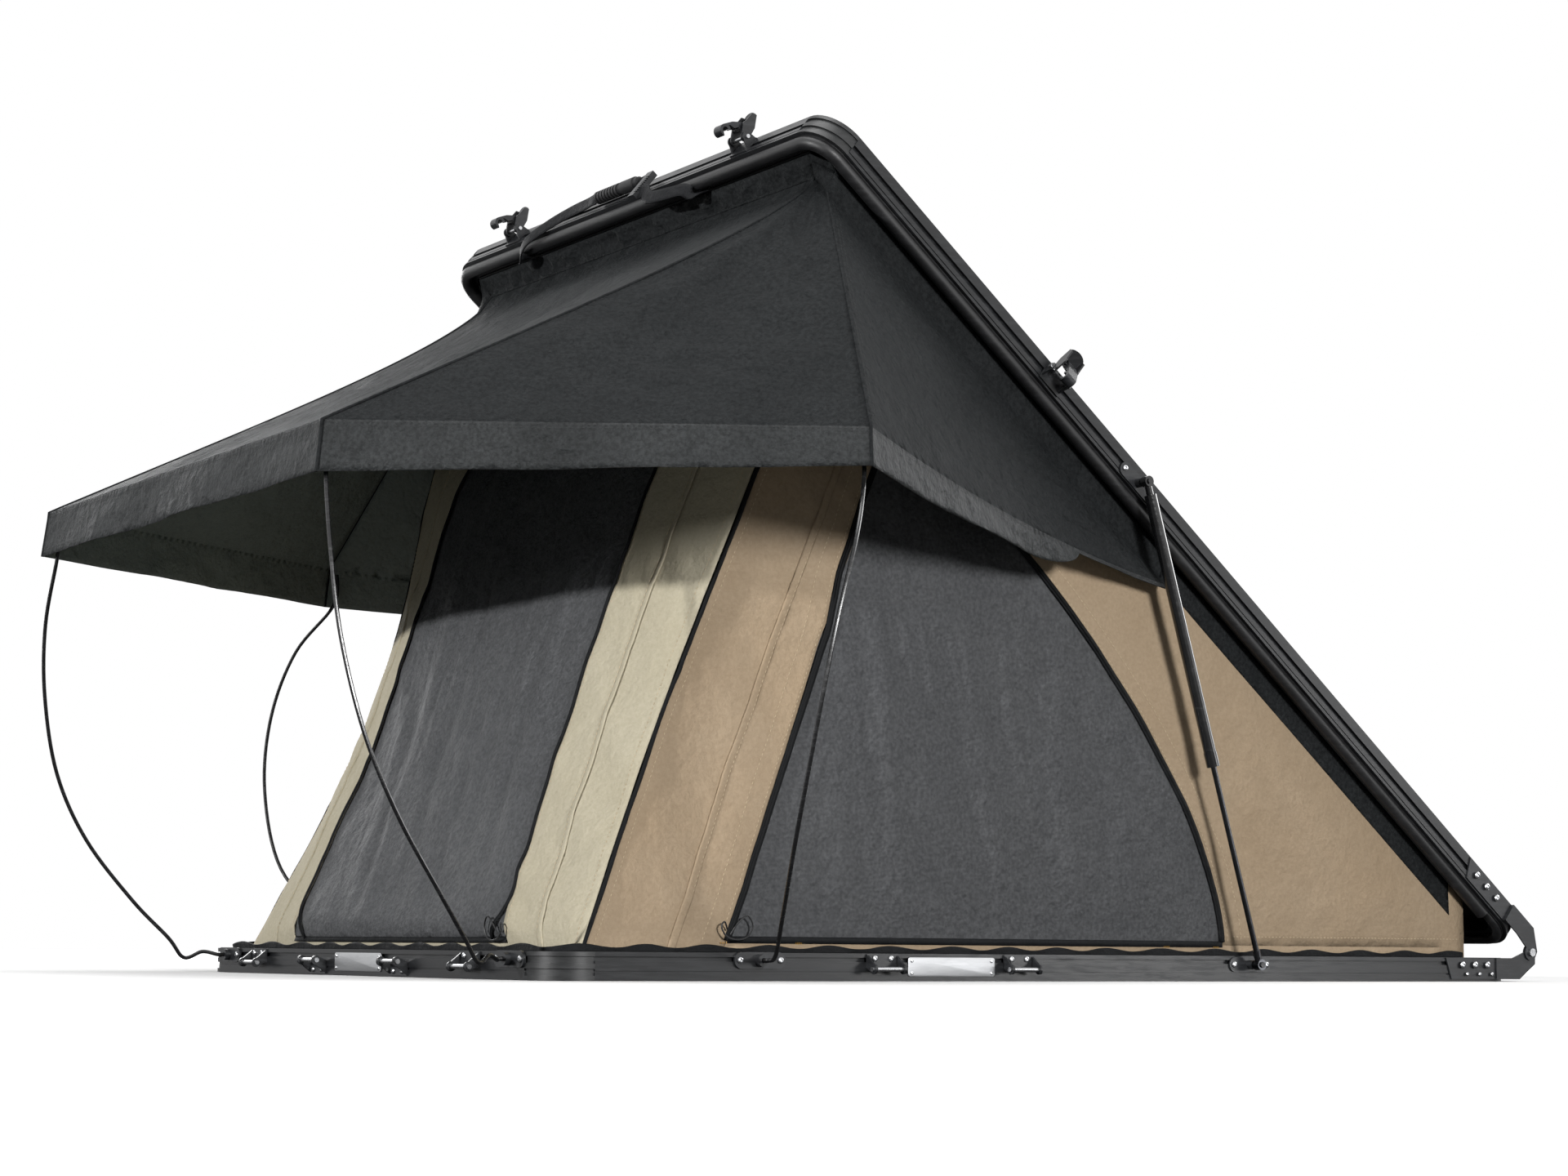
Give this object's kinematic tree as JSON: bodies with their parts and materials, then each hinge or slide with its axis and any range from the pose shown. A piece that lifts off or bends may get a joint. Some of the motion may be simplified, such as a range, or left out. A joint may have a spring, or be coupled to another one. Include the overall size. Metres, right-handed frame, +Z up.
{
  "type": "roof top tent",
  "caption": "Rear-hinged hard-shell roof top tent, open: framed base and lid, gas struts, canvas walls with mesh windows, toggle latches and a canopy on bowed rods.",
  "frame": {"origin": "centre of the base frame's underside, on the plane that rests on the roof bars", "axes": "+Z up, -Y towards the open canopy end, +Y towards the hinge, +X to the right when facing +Y"},
  "size_m": [2.031, 2.5077, 1.4858],
  "materials": {
    "bracket": "satin black",
    "canopy": "black coated cloth",
    "canvas": "tan canvas",
    "casting": "matte black moulding",
    "elastic": "black elastic",
    "foam": "woven cover",
    "frame": "satin black powder coat",
    "front_canvas": "greenish beige canvas",
    "grip": "ribbed black rubber",
    "hook": "black steel hook",
    "latch": "black moulding",
    "mesh": "dark grey insect mesh",
    "mount_rail": "mill finish",
    "panel": "plain skin over a light core",
    "rod": "black spring rod",
    "roof": "textured black skin over a light core",
    "seal": "black bulb seal",
    "steel": "bright",
    "strut_rod": "dark polished rod",
    "strut_tube": "gloss black tube",
    "webbing": "black webbing"
  },
  "bodies": {
    "base": {"base_front_rail": "frame", "base_rear_rail": "frame", "base_left_rail": "frame", "base_right_rail": "frame", "base_corner_castings": "casting", "floor_panel": "panel", "mounting_rail_left": "mount_rail", "mounting_rail_right": "mount_rail", "base_hinge_plates": "bracket", "hinge_bolts": "steel", "base_strut_brackets": "bracket", "rod_sockets": "bracket", "latch_keepers": "bracket", "ladder_brackets": "bracket", "bracket_pins": "steel", "mattress": "foam", "wall_skirt": "elastic", "front_wall": "front_canvas", "front_mesh": "mesh", "left_wall": "canvas", "left_mesh": "mesh", "right_wall": "canvas", "right_mesh": "mesh", "rear_wall": "canvas"},
    "lid": {"lid_front_rail": "frame", "lid_rear_rail": "frame", "lid_left_rail": "frame", "lid_right_rail": "frame", "lid_corner_castings": "casting", "roof_panel": "roof", "lid_seal": "seal", "canopy_track": "frame", "lid_hinge_plates": "bracket", "lid_strut_brackets": "bracket", "latch_bases": "latch", "latch_pins": "steel", "pull_strap": "webbing", "strap_grip": "grip", "strap_handle": "latch"},
    "awning": {"canopy_front": "canopy", "canopy_corner_left": "canopy", "canopy_corner_right": "canopy", "awning_rod_front_left": "rod", "awning_rod_front_right": "rod"},
    "wing_left": {"canopy_side_left": "canopy", "awning_rod_side_left": "rod"},
    "wing_right": {"canopy_side_right": "canopy", "awning_rod_side_right": "rod"},
    "strut_rod_left": {"strut_rod_left": "strut_rod"},
    "strut_tube_left": {"strut_tube_left": "strut_tube"},
    "strut_rod_right": {"strut_rod_right": "strut_rod"},
    "strut_tube_right": {"strut_tube_right": "strut_tube"},
    "latch_lever_front_left": {"latch_lever_front_left": "latch"},
    "latch_hook_front_left": {"latch_hook_front_left": "hook"},
    "latch_lever_front_right": {"latch_lever_front_right": "latch"},
    "latch_hook_front_right": {"latch_hook_front_right": "hook"},
    "latch_lever_side_left": {"latch_lever_side_left": "latch"},
    "latch_hook_side_left": {"latch_hook_side_left": "hook"},
    "latch_lever_side_right": {"latch_lever_side_right": "latch"},
    "latch_hook_side_right": {"latch_hook_side_right": "hook"}
  },
  "joints": [
    {"name": "lid_hinge", "type": "hinge", "parent": "base", "child": "lid", "pos_m": [0, 1.074, 0.0545], "axis": [1, 0, 0], "range_deg": [0, 39.45], "stiffness_Nm_per_rad": 160, "springref_deg": -126.05, "deforming": ["front_wall", "front_mesh", "left_wall", "left_mesh", "right_wall", "right_mesh", "rear_wall", "pull_strap"]},
    {"name": "awning_fold", "type": "hinge", "parent": "lid", "child": "awning", "pos_m": [0, -0.49538, 1.36416], "axis": [1, 0, 0], "range_deg": [0, 110.97], "deforming": ["canopy_front", "canopy_corner_left", "canopy_corner_right", "awning_rod_front_left", "awning_rod_front_right"]},
    {"name": "wing_fold_left", "type": "hinge", "parent": "lid", "child": "wing_left", "pos_m": [-0.6, -0.0984, 1.0282], "axis": [0, -0.7722, 0.6354], "range_deg": [0, 126.98], "deforming": ["canopy_side_left", "awning_rod_side_left"]},
    {"name": "wing_fold_right", "type": "hinge", "parent": "lid", "child": "wing_right", "pos_m": [0.6, -0.09888, 1.02762], "axis": [0, 0.7722, -0.6354], "range_deg": [0, 126.98], "deforming": ["canopy_side_right", "awning_rod_side_right"]},
    {"name": "strut_swing_left", "type": "hinge", "parent": "base", "child": "strut_rod_left", "pos_m": [-0.685, 0.365, 0.029], "axis": [1, 0, 0], "range_deg": [0, 68.9]},
    {"name": "strut_slide_left", "type": "slide", "parent": "strut_rod_left", "child": "strut_tube_left", "axis": [0, 0.288, -0.9576], "range_m": [0, 0.32414]},
    {"name": "strut_swing_right", "type": "hinge", "parent": "base", "child": "strut_rod_right", "pos_m": [0.685, 0.365, 0.029], "axis": [1, 0, 0], "range_deg": [0, 68.9]},
    {"name": "strut_slide_right", "type": "slide", "parent": "strut_rod_right", "child": "strut_tube_right", "axis": [0, 0.288, -0.9576], "range_m": [0, 0.32414]},
    {"name": "latch_front_left", "type": "hinge", "parent": "lid", "child": "latch_lever_front_left", "pos_m": [-0.405, -0.56099, 1.4355], "axis": [1, 0, 0], "range_deg": [0, 145]},
    {"name": "hook_front_left", "type": "hinge", "parent": "latch_lever_front_left", "child": "latch_hook_front_left", "pos_m": [-0.405, -0.55738, 1.4572], "axis": [1, 0, 0], "range_deg": [-115.01, 0]},
    {"name": "latch_front_right", "type": "hinge", "parent": "lid", "child": "latch_lever_front_right", "pos_m": [0.405, -0.56099, 1.4355], "axis": [1, 0, 0], "range_deg": [0, 145]},
    {"name": "hook_front_right", "type": "hinge", "parent": "latch_lever_front_right", "child": "latch_hook_front_right", "pos_m": [0.405, -0.55738, 1.4572], "axis": [1, 0, 0], "range_deg": [-115.01, 0]},
    {"name": "latch_side_left", "type": "hinge", "parent": "lid", "child": "latch_lever_side_left", "pos_m": [-0.674, -0.07297, 1.03392], "axis": [0, -0.7722, 0.6354], "range_deg": [0, 145]},
    {"name": "hook_side_left", "type": "hinge", "parent": "latch_lever_side_left", "child": "latch_hook_side_left", "pos_m": [-0.685, -0.06087, 1.04864], "axis": [0, -0.7722, 0.6354], "range_deg": [-115.01, 0]},
    {"name": "latch_side_right", "type": "hinge", "parent": "lid", "child": "latch_lever_side_right", "pos_m": [0.674, -0.07297, 1.03392], "axis": [0, 0.7722, -0.6354], "range_deg": [0, 145]},
    {"name": "hook_side_right", "type": "hinge", "parent": "latch_lever_side_right", "child": "latch_hook_side_right", "pos_m": [0.685, -0.06087, 1.04864], "axis": [0, 0.7722, -0.6354], "range_deg": [-115.01, 0]}
  ],
  "couplings": [
    {"joint": "awning_fold", "follows": "lid_hinge", "ratio": 2.8129},
    {"joint": "wing_fold_left", "follows": "lid_hinge", "ratio": 3.2188},
    {"joint": "wing_fold_right", "follows": "lid_hinge", "ratio": 3.2188},
    {"joint": "strut_swing_left", "follows": "lid_hinge", "ratio": 1.7462},
    {"joint": "strut_slide_left", "follows": "lid_hinge", "m_per_rad": 0.47062},
    {"joint": "strut_swing_right", "follows": "lid_hinge", "ratio": 1.7462},
    {"joint": "strut_slide_right", "follows": "lid_hinge", "m_per_rad": 0.47062},
    {"joint": "hook_front_left", "follows": "latch_front_left", "ratio": -0.7931},
    {"joint": "hook_front_right", "follows": "latch_front_right", "ratio": -0.7931},
    {"joint": "hook_side_left", "follows": "latch_side_left", "ratio": -0.7931},
    {"joint": "hook_side_right", "follows": "latch_side_right", "ratio": -0.7931}
  ]
}
